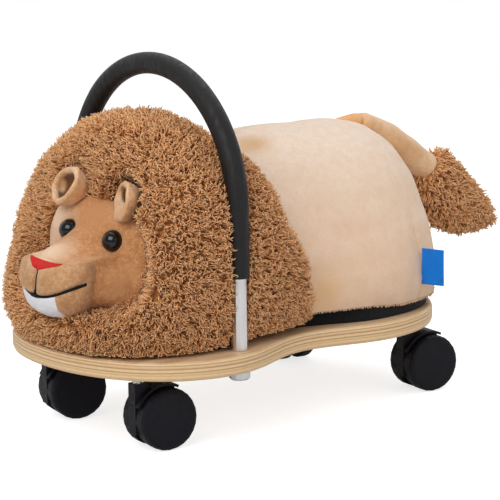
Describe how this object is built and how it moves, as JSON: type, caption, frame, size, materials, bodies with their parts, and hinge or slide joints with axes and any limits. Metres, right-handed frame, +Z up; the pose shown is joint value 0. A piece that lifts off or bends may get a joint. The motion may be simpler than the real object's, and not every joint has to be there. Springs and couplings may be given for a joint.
{
  "type": "plush ride on animal",
  "caption": "Stuffed lion with a curly mane on a waisted plywood board, with a foam-covered tube hoop to hold and swivelling twin-wheel casters.",
  "frame": {"origin": "on the floor, under the middle of the whole object in width and length", "axes": "+Z up; the animal looks along -Y and its tail points along +Y; its left side is +X"},
  "size_m": [0.2496, 0.5328, 0.3058],
  "materials": {
    "birch_plywood": "clear matt lacquer",
    "satin_steel": "satin",
    "zinc_plate": "bright zinc",
    "black_foam": "matt, fine skin",
    "black_nylon": "low gloss",
    "black_cloth": "plain cloth",
    "pale_velour": "short pile velour",
    "tan_velour": "short pile velour",
    "curly_fleece": "long curly pile",
    "coral_velour": "short pile velour",
    "black_gloss": "high gloss",
    "blue_ribbon": "woven ribbon"
  },
  "bodies": {
    "ride_on": {"base_board": "birch_plywood", "base_pad": "black_cloth", "caster_stem_front_left": "satin_steel", "caster_stem_front_right": "satin_steel", "caster_stem_rear_left": "satin_steel", "caster_stem_rear_right": "satin_steel", "chin": "tan_velour", "ear_left": "tan_velour", "ear_right": "tan_velour", "eye_left": "black_gloss", "eye_right": "black_gloss", "face": "tan_velour", "foam_grip": "black_foam", "handle_bolt_left": "zinc_plate", "handle_bolt_right": "zinc_plate", "handle_insert_left": "zinc_plate", "handle_insert_right": "zinc_plate", "handle_tube": "satin_steel", "handle_washer_left": "zinc_plate", "handle_washer_right": "zinc_plate", "mane": "curly_fleece", "mounting_plate": "birch_plywood", "muzzle": "tan_velour", "nose": "coral_velour", "plush_screw_front_left": "satin_steel", "plush_screw_front_right": "satin_steel", "plush_screw_rear_left": "satin_steel", "plush_screw_rear_right": "satin_steel", "rump": "pale_velour", "side_label": "blue_ribbon", "tail": "pale_velour", "tail_tuft": "curly_fleece", "tee_nut_front_left": "satin_steel", "tee_nut_front_right": "satin_steel", "tee_nut_rear_left": "satin_steel", "tee_nut_rear_right": "satin_steel"},
    "caster_front_left": {"caster_housing_front_left": "black_nylon", "caster_axle_front_left": "satin_steel"},
    "wheel_front_left_a": {"wheel_front_left_a": "black_nylon"},
    "wheel_front_left_b": {"wheel_front_left_b": "black_nylon"},
    "caster_front_right": {"caster_housing_front_right": "black_nylon", "caster_axle_front_right": "satin_steel"},
    "wheel_front_right_a": {"wheel_front_right_a": "black_nylon"},
    "wheel_front_right_b": {"wheel_front_right_b": "black_nylon"},
    "caster_rear_left": {"caster_housing_rear_left": "black_nylon", "caster_axle_rear_left": "satin_steel"},
    "wheel_rear_left_a": {"wheel_rear_left_a": "black_nylon"},
    "wheel_rear_left_b": {"wheel_rear_left_b": "black_nylon"},
    "caster_rear_right": {"caster_housing_rear_right": "black_nylon", "caster_axle_rear_right": "satin_steel"},
    "wheel_rear_right_a": {"wheel_rear_right_a": "black_nylon"},
    "wheel_rear_right_b": {"wheel_rear_right_b": "black_nylon"}
  },
  "joints": [
    {"name": "caster_swivel_front_left", "type": "hinge", "parent": "ride_on", "child": "caster_front_left", "pos_m": [0.0625, -0.20392, 0.0632], "axis": [0, 0, 1], "continuous": true},
    {"name": "wheel_spin_front_left_a", "type": "hinge", "parent": "caster_front_left", "child": "wheel_front_left_a", "pos_m": [0.06459, -0.18403, 0.025], "axis": [0.9945, -0.1045, 0], "continuous": true},
    {"name": "wheel_spin_front_left_b", "type": "hinge", "parent": "caster_front_left", "child": "wheel_front_left_b", "pos_m": [0.06459, -0.18403, 0.025], "axis": [0.9945, -0.1045, 0], "continuous": true},
    {"name": "caster_swivel_front_right", "type": "hinge", "parent": "ride_on", "child": "caster_front_right", "pos_m": [-0.0625, -0.20392, 0.0632], "axis": [0, 0, 1], "continuous": true},
    {"name": "wheel_spin_front_right_a", "type": "hinge", "parent": "caster_front_right", "child": "wheel_front_right_a", "pos_m": [-0.05868, -0.18429, 0.025], "axis": [0.9816, -0.1908, 0], "continuous": true},
    {"name": "wheel_spin_front_right_b", "type": "hinge", "parent": "caster_front_right", "child": "wheel_front_right_b", "pos_m": [-0.05868, -0.18429, 0.025], "axis": [0.9816, -0.1908, 0], "continuous": true},
    {"name": "caster_swivel_rear_left", "type": "hinge", "parent": "ride_on", "child": "caster_rear_left", "pos_m": [0.071, 0.07928, 0.0632], "axis": [0, 0, 1], "continuous": true},
    {"name": "wheel_spin_rear_left_a", "type": "hinge", "parent": "caster_rear_left", "child": "wheel_rear_left_a", "pos_m": [0.07447, 0.09898, 0.025], "axis": [0.9848, -0.1736, 0], "continuous": true},
    {"name": "wheel_spin_rear_left_b", "type": "hinge", "parent": "caster_rear_left", "child": "wheel_rear_left_b", "pos_m": [0.07447, 0.09898, 0.025], "axis": [0.9848, -0.1736, 0], "continuous": true},
    {"name": "caster_swivel_rear_right", "type": "hinge", "parent": "ride_on", "child": "caster_rear_right", "pos_m": [-0.071, 0.07928, 0.0632], "axis": [0, 0, 1], "continuous": true},
    {"name": "wheel_spin_rear_right_a", "type": "hinge", "parent": "caster_rear_right", "child": "wheel_rear_right_a", "pos_m": [-0.09056, 0.08344, 0.025], "axis": [0.2079, 0.9781, 0], "continuous": true},
    {"name": "wheel_spin_rear_right_b", "type": "hinge", "parent": "caster_rear_right", "child": "wheel_rear_right_b", "pos_m": [-0.09056, 0.08344, 0.025], "axis": [0.2079, 0.9781, 0], "continuous": true}
  ]
}
